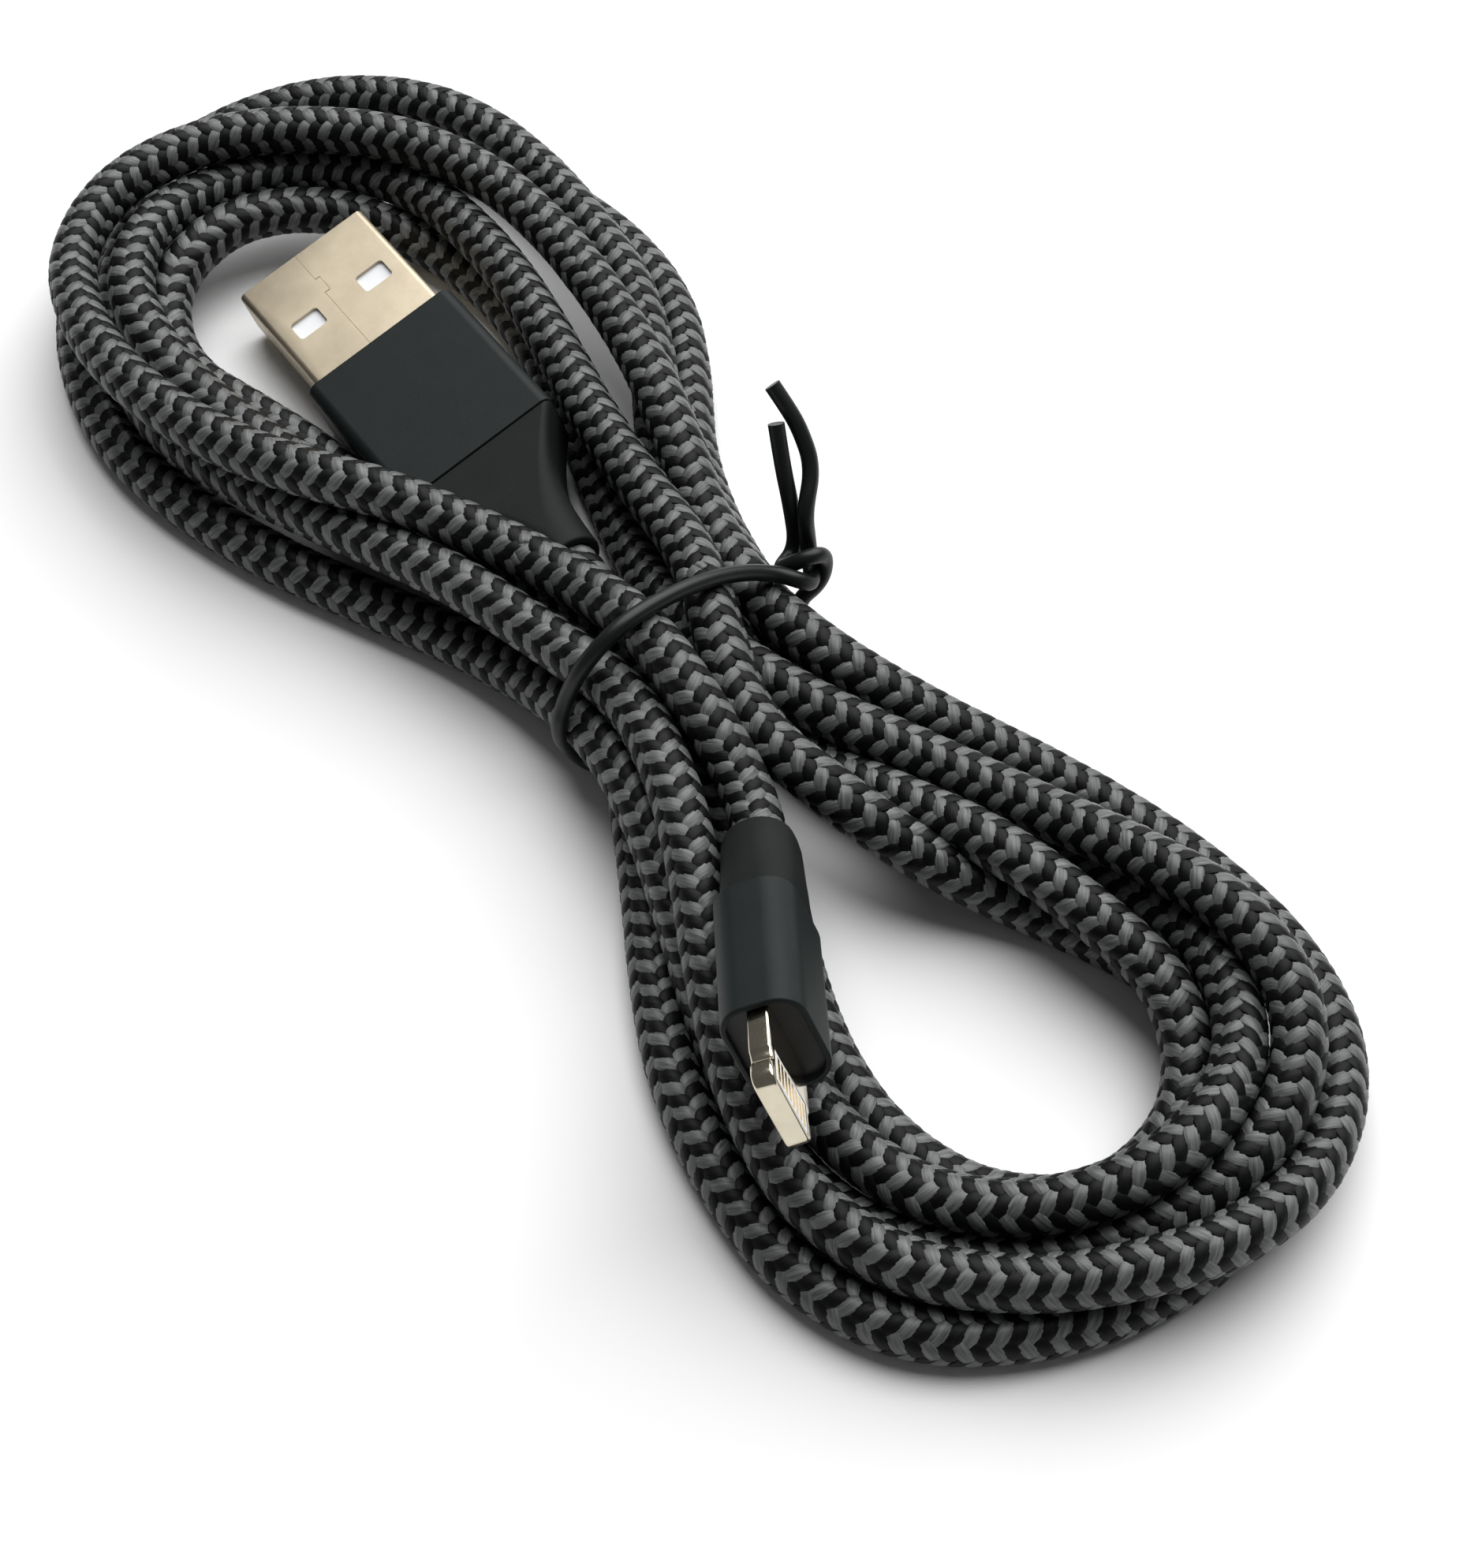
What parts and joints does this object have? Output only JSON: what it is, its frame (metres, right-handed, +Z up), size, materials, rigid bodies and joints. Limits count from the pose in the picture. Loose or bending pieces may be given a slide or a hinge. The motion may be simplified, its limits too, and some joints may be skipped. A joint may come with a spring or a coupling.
{
  "type": "charging cable",
  "caption": "Braided charging and data cord folded into a tied figure of eight hank, with a wide flat plug at one end and a slim reversible plug at the other.",
  "frame": {"origin": "middle of the hank's footprint on the surface that the cable lies on", "axes": "+X along the hank, from the wide plug's loop towards the slim plug's loop; +Z up, away from the surface; +Y completes the right-handed frame"},
  "size_m": [0.1331, 0.0481, 0.0199],
  "materials": {
    "shell_metal": "satin",
    "contact_gold": "polished",
    "white_insulator": "matte",
    "lead_red": "matte",
    "lead_white": "matte",
    "lead_green": "matte",
    "lead_black": "matte",
    "mould_nylon": "matte",
    "black_plastic": "satin",
    "crimp_metal": "satin",
    "braid": "woven",
    "core_sheath": "matte",
    "tip_steel": "satin",
    "board_laminate": "satin",
    "chip_black": "matte",
    "tie_steel": "satin",
    "tie_vinyl": "matte"
  },
  "bodies": {
    "root": {"wide_plug_shell": "shell_metal", "wide_plug_power_contacts": "contact_gold", "wide_plug_data_contacts": "contact_gold", "wide_plug_insulator": "white_insulator", "wide_plug_lead_red": "lead_red", "wide_plug_lead_white": "lead_white", "wide_plug_lead_green": "lead_green", "wide_plug_lead_black": "lead_black", "wide_plug_inner_mould": "mould_nylon", "wide_plug_housing": "black_plastic", "wide_plug_boot": "black_plastic", "wide_plug_crimp": "crimp_metal", "wide_plug_cord_end": "braid", "wide_plug_cord_core": "core_sheath", "cord_tail_wide": "braid", "cord_tail_slim": "braid", "tie_core_wire": "tie_steel", "tie_coating": "tie_vinyl", "cord_hank": "braid"},
    "slim_plug": {"slim_plug_housing": "black_plastic", "slim_plug_tip_frame": "tip_steel", "slim_plug_contacts_upper": "contact_gold", "slim_plug_contacts_lower": "contact_gold", "slim_plug_insulator": "white_insulator", "slim_plug_board": "board_laminate", "slim_plug_chip": "chip_black", "slim_plug_shield_can": "crimp_metal", "slim_plug_inner_mould": "mould_nylon", "slim_plug_boot": "black_plastic", "slim_plug_crimp": "crimp_metal", "slim_plug_cord_core": "core_sheath", "slim_plug_lead_red": "lead_red", "slim_plug_lead_white": "lead_white", "slim_plug_lead_green": "lead_green", "slim_plug_lead_black": "lead_black", "slim_plug_cord_end": "braid", "slim_plug_cord_stub": "braid"}
  },
  "joints": [
    {"name": "slim_plug_flex", "type": "hinge", "parent": "root", "child": "slim_plug", "pos_m": [0.01679, -0.00414, 0.01205], "axis": [-0.0605, -0.9982, 0], "range_deg": [0, 45]}
  ]
}
